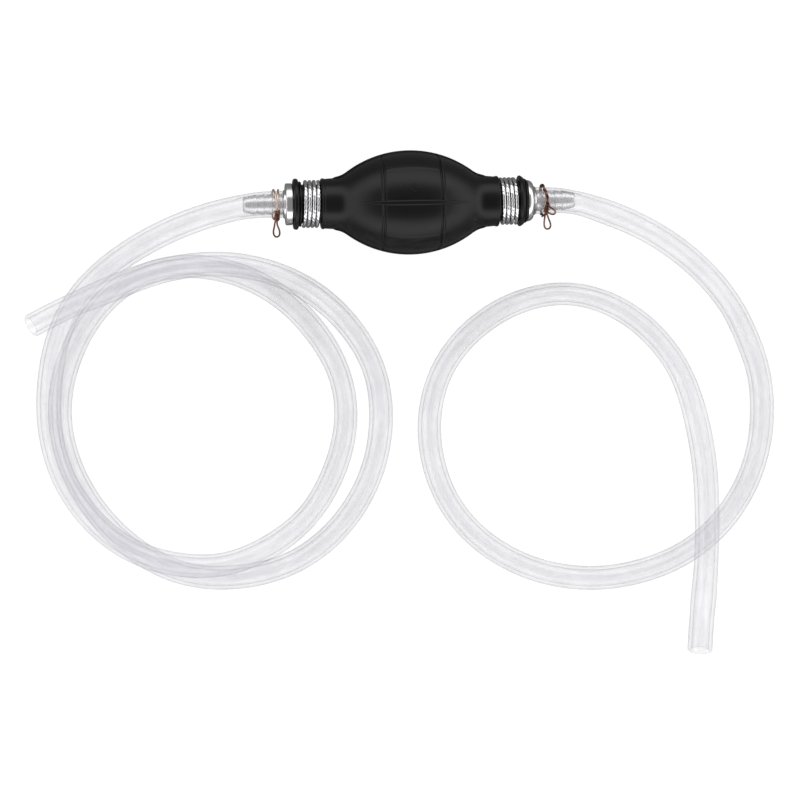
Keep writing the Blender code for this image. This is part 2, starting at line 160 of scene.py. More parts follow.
WHITE = (1.0, 1.0, 1.0, 1.0)
PATCH_SHADE = 0.93                 # how dark the dull patches of turned metal are
PAST_DULLER = 0.10                 # added roughness, and lost metallic share, inside the hose
PAST_LESS_METAL = 0.25
HAZE_GAIN = 0.26                   # vinyl: how far its lines and clouds thicken the haze
HAZE_LESS = -0.14
HAZE_AT_EDGE = 1.2                 # and how much denser a wall looks when seen along itself
SHINE_LEAST = 0.035                # vinyl: mirrored share seen square on, and what the edge adds
SHINE_AT_EDGE = 0.50
TABLE_GLOW = 0.88


def rubber_material(name, dark, light, grain):
    """Moulded black rubber: fine grain, faint bloom in patches, and paler where it is rubbed."""
    material, nodes = new_material(name)
    where = object_coordinates(nodes)
    fine = nodes.noise(where, grain, detail=6.0)
    patches = nodes.noise(where, 45.0, detail=5.0, roughness=0.6)
    streaks = nodes.noise(nodes.stretched(where, (60.0, 240.0, 240.0)), 1.0, detail=3.0)
    color = nodes.ramp(patches, (0.3, dark), (0.75, light))
    rough_mix = nodes.math("ADD", nodes.math("MULTIPLY", fine, 0.6), nodes.math("MULTIPLY", streaks, 0.4))
    rough = nodes.ramp(rough_mix, (0.25, 0.26), (0.75, 0.40))
    normal = nodes.bump(fine, 0.22, 0.00012)
    normal = nodes.bump(patches, 0.12, 0.0005, normal)
    shader = nodes.add("ShaderNodeBsdfPrincipled", {
        "Base Color": color, "Roughness": rough, "Normal": normal, "Specular IOR Level": 0.32})
    surface(nodes, shader)
    return material


def turned_metal_material(name, color, roughness, line_scale, dull_past=1.0):
    """Lathe-turned metal: fine rings round the X axis, a few dull patches, duller past a distance."""
    material, nodes = new_material(name)
    where = object_coordinates(nodes)
    rings = nodes.noise(nodes.stretched(where, (line_scale, 12.0, 12.0)), 1.0, detail=3.0)
    patches = nodes.noise(where, 160.0, detail=4.0)
    tint = nodes.ramp(patches, (0.3, tuple(c * PATCH_SHADE for c in color)), (0.7, color))
    along = nodes.math("ABSOLUTE", nodes.add("ShaderNodeSeparateXYZ", {"Vector": where}).outputs["X"])
    past = nodes.math("GREATER_THAN", along, dull_past)
    dull = nodes.math("MULTIPLY", past, PAST_DULLER)
    metallic = nodes.math("SUBTRACT", 1.0, nodes.math("MULTIPLY", past, PAST_LESS_METAL))
    rough = nodes.math("ADD", nodes.ramp(rings, (0.3, roughness * 0.7), (0.7, roughness * 1.4)), dull)
    normal = nodes.bump(rings, 0.04, 0.00006)
    shader = nodes.add("ShaderNodeBsdfPrincipled", {
        "Base Color": tint, "Roughness": rough, "Metallic": metallic, "Normal": normal})
    surface(nodes, shader)
    return material


def wire_material(name, color, shade, roughness, streak):
    """Drawn wire: bright, with fine scratches and a slightly uneven tone."""
    material, nodes = new_material(name)
    where = object_coordinates(nodes)
    scratches = nodes.noise(nodes.stretched(where, streak), 1.0, detail=4.0, roughness=0.6)
    patches = nodes.noise(where, 420.0, detail=3.0)
    tint = nodes.ramp(patches, (0.32, shade), (0.68, color))
    rough = nodes.ramp(scratches, (0.3, roughness * 0.6), (0.75, roughness * 1.7))
    normal = nodes.bump(scratches, 0.12, 0.00006)
    shader = nodes.add("ShaderNodeBsdfPrincipled", {
        "Base Color": tint, "Roughness": rough, "Metallic": 1.0, "Normal": normal})
    surface(nodes, shader)
    return material


def vinyl_material():
    """Clear extruded vinyl: see-through walls with a cool haze, die lines and a wet shine."""
    material, nodes = new_material("clear_vinyl")
    lay = nodes.add("ShaderNodeUVMap", uv_map="lay").outputs["UV"]
    lines = nodes.noise(nodes.stretched(lay, (14.0, 1.2, 1.0)), 1.0, detail=4.0, roughness=0.6)
    clouds = nodes.noise(nodes.stretched(lay, (3.0, 6.0, 1.0)), 1.0, detail=3.0)
    normal = nodes.bump(lines, 0.25, 0.0005)
    facing = nodes.add("ShaderNodeLayerWeight", {"Blend": 0.5}).outputs["Facing"]
    color = nodes.ramp(lines, (0.35, (0.895, 0.885, 0.955)), (0.65, (0.99, 0.985, 1.0)))
    haze = nodes.add("ShaderNodeBsdfPrincipled", {
        "Base Color": color, "Roughness": 0.35, "Normal": normal, "Specular IOR Level": 0.0})
    clear = nodes.add("ShaderNodeBsdfTransparent", {"Color": (0.996, 0.995, 1.0, 1.0)})
    depth = nodes.math("MULTIPLY_ADD", nodes.math("POWER", facing, 2.0), HAZE_AT_EDGE, 1.0)
    spread = nodes.math("MULTIPLY_ADD", nodes.math("ADD", lines, clouds), HAZE_GAIN, HAZE_LESS)
    cover = nodes.math("MULTIPLY", depth, spread, clamp=True)
    body = nodes.add("ShaderNodeMixShader", {0: cover, 1: clear.outputs[0], 2: haze.outputs[0]})
    shine = nodes.add("ShaderNodeBsdfAnisotropic", {
        "Color": WHITE, "Roughness": 0.14, "Normal": normal})
    mirrored = nodes.math("MULTIPLY_ADD", nodes.math("POWER", facing, 5.0), SHINE_AT_EDGE, SHINE_LEAST)
    glossy = nodes.add("ShaderNodeMixShader", {0: mirrored, 1: body.outputs[0], 2: shine.outputs[0]})
    surface(nodes, glossy)
    return material


def floor_material():
    """A light table: lit from within as seen by the camera, and quiet in the object's reflections."""
    material, nodes = new_material("lit_table")
    where = object_coordinates(nodes)
    cloud = nodes.noise(where, 3.0, detail=2.0)
    color = nodes.ramp(cloud, (0.2, 0.25), (0.8, 0.28))
    seen = nodes.add("ShaderNodeLightPath").outputs["Is Camera Ray"]
    shader = nodes.add("ShaderNodeBsdfPrincipled", {
        "Base Color": color, "Roughness": 0.8, "Specular IOR Level": 0.0,
        "Emission Color": WHITE, "Emission Strength": nodes.math("MULTIPLY", seen, TABLE_GLOW)})
    surface(nodes, shader)
    return material


METAL_INSIDE_HOSE = 0.0607         # metres from the pump's middle

MATERIALS = {
    "bulb": rubber_material("bulb_rubber_look", 0.0022, 0.006, 2600.0),
    "ring": rubber_material("ring_rubber_look", 0.003, 0.006, 3200.0),
    "seat": rubber_material("seat_rubber_look", 0.004, 0.009, 3000.0),
    "fitting": turned_metal_material("fitting_metal_look", (0.93, 0.935, 0.94), 0.18, 5000.0,
                                     dull_past=METAL_INSIDE_HOSE),
    "retainer": turned_metal_material("retainer_metal_look", (0.82, 0.83, 0.84), 0.26, 4000.0),
    "binding": wire_material("binding_wire_look", (0.93, 0.93, 0.94), (0.80, 0.80, 0.82), 0.10,
                             (3000.0, 300.0, 300.0)),
    "spring": wire_material("spring_wire_look", (0.72, 0.72, 0.74), (0.58, 0.58, 0.60), 0.22,
                            (2500.0, 500.0, 500.0)),
    "ball": wire_material("ball_steel_look", (0.80, 0.80, 0.82), (0.74, 0.74, 0.76), 0.08,
                          (700.0, 700.0, 700.0)),
    # One copper clip wire in two copies: the light one is painted as lit, for the band catching the
    # light; the near-black one carries painted shade from dark reflections.
    "clip_painted_lit": wire_material("clip_band_painted_lit_look", (0.95, 0.76, 0.66), (0.80, 0.52, 0.38), 0.30,
                                (1800.0, 1800.0, 600.0)),
    "clip_painted_shade": wire_material("clip_loop_painted_shade_look", (0.33, 0.15, 0.095), (0.055, 0.028, 0.02), 0.24,
                               (1800.0, 1800.0, 600.0)),
    "vinyl": vinyl_material(),
    "floor": floor_material(),
}


# ================================================================ mesh helpers

UP = Vector((0.0, 0.0, 1.0))
LATHE_SEGMENTS = 96
WIRE_END_ROUNDING = 0.25           # both as shares of the wire's radius
WIRE_END_RADIUS = 0.72
HALF_EDGE = 2.01                   # a corner's rounding takes just under half of each edge


def smooth(t):
    """0 to 1 as t goes from 0 to 1, with a level start and end."""
    t = max(0.0, min(1.0, t))
    return t * t * (3.0 - 2.0 * t)


def mesh_object(name, verts, faces, material, sharp=32.0):
    """A smooth shaded object whose edges sharper than so many degrees stay crisp."""
    mesh = bpy.data.meshes.new(name)
    mesh.from_pydata([tuple(v) for v in verts], [], faces)
    mesh.validate()
    mesh.shade_smooth()
    mesh.set_sharp_from_angle(angle=math.radians(sharp))
    mesh.materials.append(material)
    obj = bpy.data.objects.new(name, mesh)
    bpy.context.scene.collection.objects.link(obj)
    return obj


def place(obj, slot, *nodes, body=ROOT):
    """Fixes a piece to its body and hides the CAD nodes that it stands for. The slot is not used."""
    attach(obj, body)
    if nodes:
        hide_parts(*nodes)


def rounded(corners, steps=4):
    """A closed outline from (along, radius, rounding) corners, each rounded by an arc-like curve."""
    points = []
    count = len(corners)
    for i, (x, y, rounding) in enumerate(corners):
        here = Vector((x, y))
        if rounding <= 0.0:
            points.append(here)
            continue
        before = Vector(corners[i - 1][:2]) - here
        after = Vector(corners[(i + 1) % count][:2]) - here
        start = here + before.normalized() * min(rounding, before.length / HALF_EDGE)
        end = here + after.normalized() * min(rounding, after.length / HALF_EDGE)
        for step in range(steps + 1):
            t = step / steps
            points.append(start * (1 - t) ** 2 + here * 2 * t * (1 - t) + end * t * t)
    return [(p.x, p.y) for p in points]


def lathe(name, outline, material, side, sharp=32.0):
    """A ring turned about the pump's axis from a closed outline of (distance from middle, radius)."""
    count = len(outline)
    verts = []
    for k in range(LATHE_SEGMENTS):
        angle = 2.0 * math.pi * k / LATHE_SEGMENTS
        for along, radius in outline:
            verts.append((side * along, radius * math.cos(angle), AXIS_Z + radius * math.sin(angle)))
    faces = []
    area = sum(outline[i - 1][0] * outline[i][1] - outline[i][0] * outline[i - 1][1]
               for i in range(count))
    flip = (area > 0) == (side > 0)
    for k in range(LATHE_SEGMENTS):
        m = (k + 1) % LATHE_SEGMENTS
        for i in range(count):
            j = (i + 1) % count
            quad = (k * count + i, k * count + j, m * count + j, m * count + i)
            faces.append(quad if flip else quad[::-1])
    return mesh_object(name, verts, faces, material, sharp)


def frames_along(path):
    """(point, sideways, upward) at each point of a path that is never upright."""
    count = len(path)
    made = []
    for i in range(count):
        ahead = (path[min(i + 1, count - 1)] - path[max(i - 1, 0)]).normalized()
        sideways = ahead.cross(UP)
        sideways = sideways.normalized() if sideways.length > 1e-6 else Vector((1.0, 0.0, 0.0))
        made.append((path[i], sideways, sideways.cross(ahead)))
    return made


def transported(path, first_side):
    """(point, sideways, upward) carried along a path without twisting."""
    made = []
    sideways = Vector(first_side)
    count = len(path)
    for i in range(count):
        ahead = (path[min(i + 1, count - 1)] - path[max(i - 1, 0)]).normalized()
        sideways = (sideways - ahead * sideways.dot(ahead)).normalized()
        made.append((path[i], sideways, ahead.cross(sideways)))
    return made


def round_bar(name, path, radius, material, sides=14, first_side=(0.0, 0.0, 1.0), lobe=0.0, lay=1.0):
    """A solid wire along a path, its cut ends slightly rounded. With lobe it has the two ridges of
    twisted strands, which go once round in the length lay."""
    frames = transported(path, first_side)
    ahead = (path[-1] - path[-2]).normalized()
    back = (path[0] - path[1]).normalized()
    rounding = WIRE_END_ROUNDING * radius
    rings = [(frames[0][0] + back * rounding, frames[0][1], frames[0][2], WIRE_END_RADIUS)]
    rings += [(*f, 1.0) for f in frames]
    rings.append((frames[-1][0] + ahead * rounding, frames[-1][1], frames[-1][2], WIRE_END_RADIUS))
    verts, walked = [], 0.0
    for i, (point, sideways, upward, share) in enumerate(rings):
        walked += (point - rings[max(i - 1, 0)][0]).length
        for k in range(sides):
            angle = 2.0 * math.pi * k / sides
            ridge = 1.0 + lobe * (math.cos(2.0 * angle + 2.0 * math.pi * walked / lay) - 1.0)
            reach = radius * share * ridge
            verts.append(point + (sideways * math.cos(angle) + upward * math.sin(angle)) * reach)
    faces = []
    for i in range(len(rings) - 1):
        for k in range(sides):
            m = (k + 1) % sides
            faces.append((i * sides + k, i * sides + m, (i + 1) * sides + m, (i + 1) * sides + k))
    faces.append(tuple(range(sides))[::-1])
    last = (len(rings) - 1) * sides
    faces.append(tuple(range(last, last + sides)))
    return mesh_object(name, verts, faces, material, sharp=50.0)


# ================================================================ hoses

HOSE_OUTER = 6.35 * MM
HOSE_INNER = 4.5 * MM
HOSE_ON_BARB = 5.15 * MM           # bore and outside where a barb tooth stretches the hose
HOSE_OVER_BARB = 6.5 * MM
TEETH = ((61.5, 65.9), (66.1, 69.7), (69.9, 73.4), (73.6, 78.9))   # millimetres from the middle
HOSE_START = 61.0
PAST_TEETH = 0.4                   # share of the full swelling left behind a tooth and past the last
SWELL_END = 84.0
SWELL_FADE = 3.5
HOSE_SIDES = 40
HOSE_BEVEL = 0.25 * MM
RING_STEP = 1.0 * MM
FINE_RINGS = 27                    # rings a step apart over the barb, and then one every few steps
RING_SKIP = 3
BEND_SPAN = 18                     # rings on each side over which a bend is measured
FLATTENING = 7.5 * MM              # how much a bend narrows the hose: share = FLATTENING / bend radius
HAZE_ROUND = 2.0                   # units of the haze pattern round the hose, and along each metre
HAZE_ALONG = 10.0

Ring = namedtuple("Ring", "point sideways upward narrow radius walked")

INLET_ROUTE = (
    (61.0, 0.0, 25.0), (70.0, 0.0, 25.0), (80.0, -1.2, 24.4), (93.0, -5.0, 22.2),
    (108.0, -10.8, 18.8), (123.0, -18.6, 15.2), (138.5, -29.6, 11.8), (151.3, -42.0, 9.2),
    (161.0, -55.0, 7.4), (168.3, -70.0, 6.6), (173.5, -86.0, 6.5), (175.2, -105.0, 6.5),
    (173.5, -122.0, 6.5), (167.5, -140.0, 6.5), (155.5, -158.5, 6.5), (139.0, -172.7, 6.5),
    (117.0, -182.2, 6.5), (89.0, -185.8, 6.5), (62.0, -180.9, 6.5), (39.0, -168.8, 6.5),
    (21.6, -150.5, 6.5), (11.8, -127.0, 6.5), (10.5, -103.0, 6.5), (17.0, -81.5, 6.5),
    (33.0, -62.0, 6.5), (55.5, -49.2, 6.5), (79.0, -45.8, 6.5), (102.0, -52.3, 6.5),
    (121.0, -66.5, 6.7), (134.0, -85.0, 8.4), (141.0, -108.0, 12.8), (144.0, -132.0, 18.0),
    (144.4, -154.0, 20.8), (144.2, -173.0, 20.0), (143.8, -191.0, 15.8), (143.4, -208.0, 10.4),
    (143.0, -223.2, 7.2),
)
OUTLET_ROUTE = (
    (-61.0, 0.0, 25.0), (-70.0, 0.0, 25.0), (-81.0, -1.2, 24.4), (-100.0, -5.9, 22.4),
    (-120.0, -13.9, 19.8), (-141.0, -26.4, 17.0), (-157.0, -40.8, 15.6), (-167.3, -58.0, 17.0),
    (-172.8, -80.0, 19.0), (-173.8, -102.0, 19.2), (-169.0, -125.5, 19.2), (-157.0, -146.5, 19.6),
    (-138.5, -163.0, 20.0), (-114.0, -172.0, 20.0), (-91.0, -172.5, 18.4), (-70.0, -165.4, 14.6),
    (-50.0, -150.8, 9.0), (-37.0, -130.0, 6.6), (-31.0, -107.0, 6.5), (-32.8, -85.6, 6.5),
    (-44.0, -63.0, 6.5), (-63.0, -43.6, 6.5), (-88.0, -31.7, 6.5), (-112.0, -29.5, 6.5),
    (-134.0, -36.2, 6.5), (-152.5, -52.5, 6.5), (-164.2, -74.0, 6.5), (-168.9, -98.0, 6.5),
    (-165.0, -122.5, 6.5), (-153.0, -146.0, 6.5), (-133.0, -166.5, 6.5), (-109.0, -178.5, 6.5),
    (-84.0, -180.4, 6.5), (-58.0, -174.2, 6.5), (-35.0, -157.5, 6.5), (-19.4, -133.0, 6.5),
    (-13.6, -106.0, 6.5), (-17.0, -80.0, 6.6), (-31.0, -56.5, 9.0), (-51.0, -39.8, 15.2),
    (-74.0, -30.4, 19.8), (-98.0, -28.0, 20.8), (-122.0, -31.5, 23.8), (-144.0, -39.0, 27.8),
    (-160.0, -45.4, 30.2), (-171.0, -50.4, 29.4), (-181.3, -55.7, 26.6),
)


def smooth_curve(route, step=MM):
    """A natural cubic spline through the route's points (in millimetres), sampled finely."""
    points = np.array(route, dtype=float) * MM
    chord = np.linalg.norm(np.diff(points, axis=0), axis=1)
    at = np.concatenate([[0.0], np.cumsum(chord)])
    count = len(points)
    matrix = np.zeros((count, count))
    right = np.zeros((count, 3))
    matrix[0, 0] = matrix[-1, -1] = 1.0
    for i in range(1, count - 1):
        matrix[i, i - 1:i + 2] = chord[i - 1], 2.0 * (chord[i - 1] + chord[i]), chord[i]
        rise = (points[i + 1] - points[i]) / chord[i] - (points[i] - points[i - 1]) / chord[i - 1]
        right[i] = 6.0 * rise
    bend = np.linalg.solve(matrix, right)
    fine = np.linspace(0.0, at[-1], int(at[-1] / step) + 1)
    i = np.clip(np.searchsorted(at, fine, side="right") - 1, 0, count - 2)
    width = chord[i][:, None]
    a = (at[i + 1] - fine)[:, None] / width
    b = 1.0 - a
    cubic = ((a ** 3 - a) * bend[i] + (b ** 3 - b) * bend[i + 1]) * width ** 2 / 6.0
    return a * points[i] + b * points[i + 1] + cubic


def evenly(curve, step):
    """The curve's points a step apart along its length, and that length."""
    length = np.concatenate([[0.0], np.cumsum(np.linalg.norm(np.diff(curve, axis=0), axis=1))])
    stations = np.linspace(0.0, length[-1], round(length[-1] / step) + 1)
    points = np.stack([np.interp(stations, length, curve[:, k]) for k in range(3)], axis=1)
    return [Vector(p) for p in points], length[-1]


def bend_share(path, i):
    """How much narrower the hose is at point i because of its bend."""
    a, b, c = path[max(i - BEND_SPAN, 0)], path[i], path[min(i + BEND_SPAN, len(path) - 1)]
    first, second = (b - a), (c - b)
    if first.length < 1e-6 or second.length < 1e-6:
        return 0.0
    turn = first.angle(second, 0.0)
    return FLATTENING * turn / ((first.length + second.length) / 2.0)


def barb_swell(along):
    """Share of full swelling at a distance in millimetres from the pump's middle."""
    for low, high in TEETH:
        if along < high + 0.2:
            return 1.0 - (1.0 - PAST_TEETH) * max(0.0, (along - low) / (high - low))
    return PAST_TEETH * smooth((SWELL_END - along) / SWELL_FADE)


def hose_rings(path, length):
    """The hose's outside rings and inside rings, from the barb to the free end."""
    frames = frames_along(path)
    last = len(path) - 1
    start_share = bend_share(path, BEND_SPAN)
    end_share = bend_share(path, last - BEND_SPAN)
    outside, inside = [], []
    for i in [*range(FINE_RINGS), *range(FINE_RINGS, last - 1, RING_SKIP), last]:
        point, sideways, upward = frames[i]
        share = bend_share(path, i)
        if i < BEND_SPAN:
            share = start_share * i / BEND_SPAN
        elif i > last - BEND_SPAN:
            share = end_share
        walked = length * i / last
        swell = barb_swell(HOSE_START + walked / MM)
        outer = HOSE_OUTER + (HOSE_OVER_BARB - HOSE_OUTER) * swell
        inner = HOSE_INNER + (HOSE_ON_BARB - HOSE_INNER) * smooth(swell / PAST_TEETH)
        outside.append(Ring(point, sideways, upward, 1.0 - share, outer, walked))
        inside.append(Ring(point, sideways, upward, 1.0 - share, inner, walked))
    return outside, inside


def bevelled(ring, out, change):
    """The two rings of a bevelled edge: one a bevel in or out, one a bevel back from the cut face."""
    stepped = ring._replace(radius=ring.radius + change)
    drawn_back = ring._replace(point=ring.point - out * HOSE_BEVEL)
    return [stepped, drawn_back]


def hose_loops(outside, inside):
    """Rings of points from the start over the outside to the far end and back through the bore."""
    start_out = (outside[0].point - outside[1].point).normalized()
    end_out = (outside[-1].point - outside[-2].point).normalized()
    loops = bevelled(outside[0], start_out, -HOSE_BEVEL)
    loops += outside[1:-1]
    loops += bevelled(outside[-1], end_out, -HOSE_BEVEL)[::-1]
    loops += bevelled(inside[-1], end_out, HOSE_BEVEL)
    loops += inside[1:-1][::-1]
    loops += bevelled(inside[0], start_out, HOSE_BEVEL)[::-1]
    return loops


def make_hose(name, route):
    """An open tube along a route, with a pattern layer that follows its length for the haze."""
    path, length = evenly(smooth_curve(route), RING_STEP)
    loops = hose_loops(*hose_rings(path, length))
    verts, faces, corners = [], [], []
    for ring in loops:
        for k in range(HOSE_SIDES):
            angle = 2.0 * math.pi * k / HOSE_SIDES
            across = ring.sideways * (ring.radius * ring.narrow * math.cos(angle))
            verts.append(ring.point + across + ring.upward * (ring.radius * math.sin(angle)))
    count = len(loops)
    for i in range(count):
        j = (i + 1) % count
        for k in range(HOSE_SIDES):
            m = (k + 1) % HOSE_SIDES
            this_ring, next_ring = i * HOSE_SIDES, j * HOSE_SIDES
            faces.append((this_ring + k, this_ring + m, next_ring + m, next_ring + k))
            low, high = HAZE_ROUND * k / HOSE_SIDES, HAZE_ROUND * (k + 1) / HOSE_SIDES
            here, there = HAZE_ALONG * loops[i].walked, HAZE_ALONG * loops[j].walked
            corners += [(low, here), (high, here), (high, there), (low, there)]
    obj = mesh_object(f"{name}_hose_tube", verts, faces, MATERIALS["vinyl"], sharp=40.0)
    layer = obj.data.uv_layers.new(name="lay")
    layer.data.foreach_set("uv", np.array(corners, dtype=np.float32).ravel())
    place(obj, "clear_hose", f"{name}_hose")


# ================================================================ bulb

CROWN = 24.0 * MM                  # greatest radius, and the radius of the arc along the barrel
CROWN_ARC = 51.0 * MM
NECK = 11.9 * MM
SHOULDER = 30.0 * MM               # where the arc ends and where the neck begins
NECK_START = 36.0 * MM
WALL = 2.6 * MM
NECK_BORE = 7.6 * MM
NECK_END = 56.2 * MM
BOUND = 9.3 * MM                   # radius of the neck under the wire
NECK_BORE_START = 37.5 * MM
RIDGE_AT = 14.5 * MM               # the rib rings: an outer ridge with a groove on its inner side
RIDGE_HALF = 0.45 * MM
RIDGE_SOFT = 0.70 * MM
GROOVE_AT = 13.5 * MM
GROOVE_HALF = 0.35 * MM
GROOVE_SOFT = 0.35 * MM
GROOVE_DEPTH = 0.28 * MM
RIBS = 8                           # lengthwise: top, side and bottom ones with a faint one between
RIB_ANGLE = 2.0 * math.pi / RIBS
RIB = 0.42 * MM                    # height of a rib, and of the rib rings
RIB_HALF = 0.95 * MM
RIB_SOFT = 0.72 * MM
RIB_LEAST = 0.02 * MM
FAINT_RIB = 0.16 * MM
PART_RIB = 0.95 * MM               # the moulding line at each side
PART_RIB_HALF = 1.15 * MM
PART_RIB_SOFT = 0.35 * MM
PART_REACH = (38.0 * MM, 3.0 * MM)          # where each kind of rib ends, and its fade there
MAIN_REACH = (28.5 * MM, 7.0 * MM)
FAINT_REACH = (GROOVE_AT - 0.6 * MM, 1.0 * MM)
BETWEEN_RIBS = 8                   # columns of faces between two ribs
PLAIN_STEP = 1.25 * MM
FINE_STEP = 0.11 * MM
EDGE_STEPS = (0.0, 0.45, 0.58, 0.68, 0.77, 0.86, 0.95, 1.04, 1.13, 1.22, 1.32, 1.45, 1.7)
OFFSETS = [-step * MM / CROWN for step in EDGE_STEPS[:0:-1]] + [step * MM / CROWN for step in EDGE_STEPS]


def barrel_radius(x):
    """Outside of the plain barrel: an arc to the shoulder, then an easy curve into the neck."""
    x = abs(x)
    arc = CROWN - CROWN_ARC + math.sqrt(CROWN_ARC ** 2 - min(x, SHOULDER) ** 2)
    if x <= SHOULDER:
        return arc
    if x >= NECK_START:
        return NECK
    along = (x - SHOULDER) / (NECK_START - SHOULDER)
    slope = -SHOULDER / math.sqrt(CROWN_ARC ** 2 - SHOULDER ** 2) * (NECK_START - SHOULDER)
    return (arc * (1 + 2 * along) * (1 - along) ** 2 + slope * along * (1 - along) ** 2
            + NECK * along * along * (3 - 2 * along))


def bump_profile(distance, half, soft):
    """1 on a flat-topped rib, falling to 0 past its edge."""
    return smooth((half - abs(distance)) / soft + 0.5)


def ring_relief(x):
    """Outer ridge and inner groove of the two rib rings."""
    ridge = RIB * bump_profile(abs(x) - RIDGE_AT, RIDGE_HALF, RIDGE_SOFT)
    groove = GROOVE_DEPTH * bump_profile(abs(x) - GROOVE_AT, GROOVE_HALF, GROOVE_SOFT)
    return ridge - groove


def rib_kind(rib):
    """Height, half width, softness of the edge, and (reach, fade) of a rib, counted from the top."""
    if rib % 4 == 2:
        return PART_RIB, PART_RIB_HALF, PART_RIB_SOFT, PART_REACH
    if rib % 4 == 0:
        return RIB, RIB_HALF, RIB_SOFT, MAIN_REACH
    return FAINT_RIB, RIB_HALF, RIB_SOFT, FAINT_REACH


def rib_width(rib, x):
    """Share of a rib's full width at x: the top and bottom ribs run out to a point."""
    if rib % 4 != 0:
        return 1.0
    return 1.0 - 0.62 * smooth((abs(x) - 12.0 * MM) / (16.0 * MM))


def barrel_point(x, column):
    """Angle from the top, and outside radius, of one column of points at x."""
    rib, offset, part = column
    if part:
        start = rib * RIB_ANGLE + OFFSETS[-1] * rib_width(rib, x)
        end = (rib + 1) * RIB_ANGLE - OFFSETS[-1] * rib_width(rib + 1, x)
        return start + (end - start) * part, barrel_radius(x) + ring_relief(x)
    height, half, soft, (reach, fade) = rib_kind(rib)
    top = height * smooth((reach - abs(x)) / fade)
    top *= bump_profile(offset * CROWN, half, soft)
    relief = max(ring_relief(x), top) if top > RIB_LEAST else ring_relief(x)
    return rib * RIB_ANGLE + offset * rib_width(rib, x), barrel_radius(x) + relief


def neck_outline(side):
    """Outside of a neck from the barrel to the end face and back inside to the bore."""
    corners = [
        (41.0 * MM, NECK, 0.5 * MM), (41.4 * MM, NECK + 0.25 * MM, 0.3 * MM),
        (42.4 * MM, NECK + 0.25 * MM, 0.4 * MM), (42.8 * MM, NECK - 0.5 * MM, 0.3 * MM),
        (42.9 * MM, BOUND, 0.2 * MM), (52.0 * MM, BOUND, 0.2 * MM)]
    if side < 0:
        corners += [(52.2 * MM, 10.8 * MM, 0.5 * MM), (53.1 * MM, 10.8 * MM, 0.2 * MM),
                    (53.2 * MM, 9.5 * MM, 0.1 * MM), (NECK_END, 9.5 * MM, 0.2 * MM)]
    else:
        corners += [(52.05 * MM, 9.5 * MM, 0.1 * MM), (55.2 * MM, 9.5 * MM, 0.1 * MM),
                    (55.3 * MM, 10.8 * MM, 0.4 * MM), (NECK_END, 10.3 * MM, 0.4 * MM)]
    corners += [(NECK_END, NECK_BORE, 0.0)]
    closed = corners + [(39.0 * MM, NECK_BORE, 0.0), (39.0 * MM, NECK, 0.0)]
    points = rounded(closed, steps=3)
    return points[:len(points) - 2]


def barrel_stations():
    """Places along the barrel, close together over the rib rings and where the ribs end."""
    ends = NECK_START + 1.0 * MM
    plain = list(np.arange(-ends, ends + 0.1 * MM, PLAIN_STEP))
    fine = np.arange(GROOVE_AT - 0.9 * MM, RIDGE_AT + 1.0 * MM, FINE_STEP)
    kept = [x for x in plain if not fine[0] - 0.6 * MM < abs(x) < fine[-1] + 0.6 * MM]
    return sorted(kept + list(fine) + list(-fine))


def half_columns():
    """(rib, offset, part) of each column of points from the top of a half to its bottom."""
    columns = []
    for rib in range(RIBS // 2 + 1):
        offsets = [o for o in OFFSETS if (rib > 0 or o >= 0.0) and (rib < 4 or o <= 0.0)]
        columns += [(rib, offset, 0.0) for offset in offsets]
        if rib < 4:
            columns += [(rib, 0.0, part / BETWEEN_RIBS) for part in range(1, BETWEEN_RIBS)]
    return columns


def inner_radius(x):
    return NECK_BORE if abs(x) >= NECK_BORE_START else barrel_radius(x) - WALL


def half_bulb(name, way):
    """Front (way -1) or back (way 1) half of the bulb's wall, with both necks."""
    stations = barrel_stations()
    left = [(-x, r) for x, r in neck_outline(-1)][::-1]
    right = neck_outline(1)
    inner_x = [x * MM for x in (50.0, 37.5, 34.0, 31.0, 28.0, 24.0, 19.0, 14.0, 9.0, 4.0)]
    inner = [(x, inner_radius(x)) for x in inner_x + [-x for x in inner_x[::-1]]]
    columns = half_columns()
    verts = []
    count = len(left) + len(stations) + len(right) + len(inner)
    for column in columns:
        plain = barrel_point(NECK_START, column)[0]
        ring = [(x, plain, r) for x, r in left]
        ring += [(x, *barrel_point(x, column)) for x in stations]
        ring += [(x, plain, r) for x, r in right + inner]
        for x, theta, radius in ring:
            verts.append((x, way * radius * math.sin(theta), AXIS_Z + radius * math.cos(theta)))
    faces = []
    for k in range(len(columns) - 1):
        for i in range(count):
            j = (i + 1) % count
            quad = (k * count + i, k * count + j, (k + 1) * count + j, (k + 1) * count + i)
            faces.append(quad if way < 0 else quad[::-1])
    first = tuple(range(count))
    last = tuple(range((len(columns) - 1) * count, len(columns) * count))
    faces.append(first[::-1] if way < 0 else first)
    faces.append(last if way < 0 else last[::-1])
    obj = mesh_object(name, verts, faces, MATERIALS["bulb"], sharp=48.0)
    level_seam_normals(obj, len(faces) - 2)
    return obj


def level_seam_normals(obj, wall_faces):
    """Makes the two halves shade as one across the plane where they meet."""
    mesh = obj.data
    edges_of_caps = set()
    for face in list(mesh.polygons)[wall_faces:]:
        edges_of_caps.update(face.edge_keys)
    for edge in mesh.edges:
        if edge.key in edges_of_caps:
            edge.use_edge_sharp = True
    normals = [Vector(n.vector) for n in mesh.corner_normals]
    for face in list(mesh.polygons)[:wall_faces]:
        for loop in face.loop_indices:
            if abs(mesh.vertices[mesh.loops[loop].vertex_index].co.y) < 1e-7:
                normals[loop].y = 0.0
                normals[loop].normalize()
    mesh.normals_split_custom_set([tuple(n) for n in normals])


def follow_wall(obj):
    """Bakes a piece of skin's placement into its mesh."""
    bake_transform(obj)


def make_bulb():
    for name, way, nodes in (("front", -1, ("squeeze_wall_front",)),
                             ("back", 1, ("squeeze_wall_back", "rubber_bulb"))):
        half = half_bulb(f"bulb_{name}_half", way)
        follow_wall(half)
        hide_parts(*nodes)


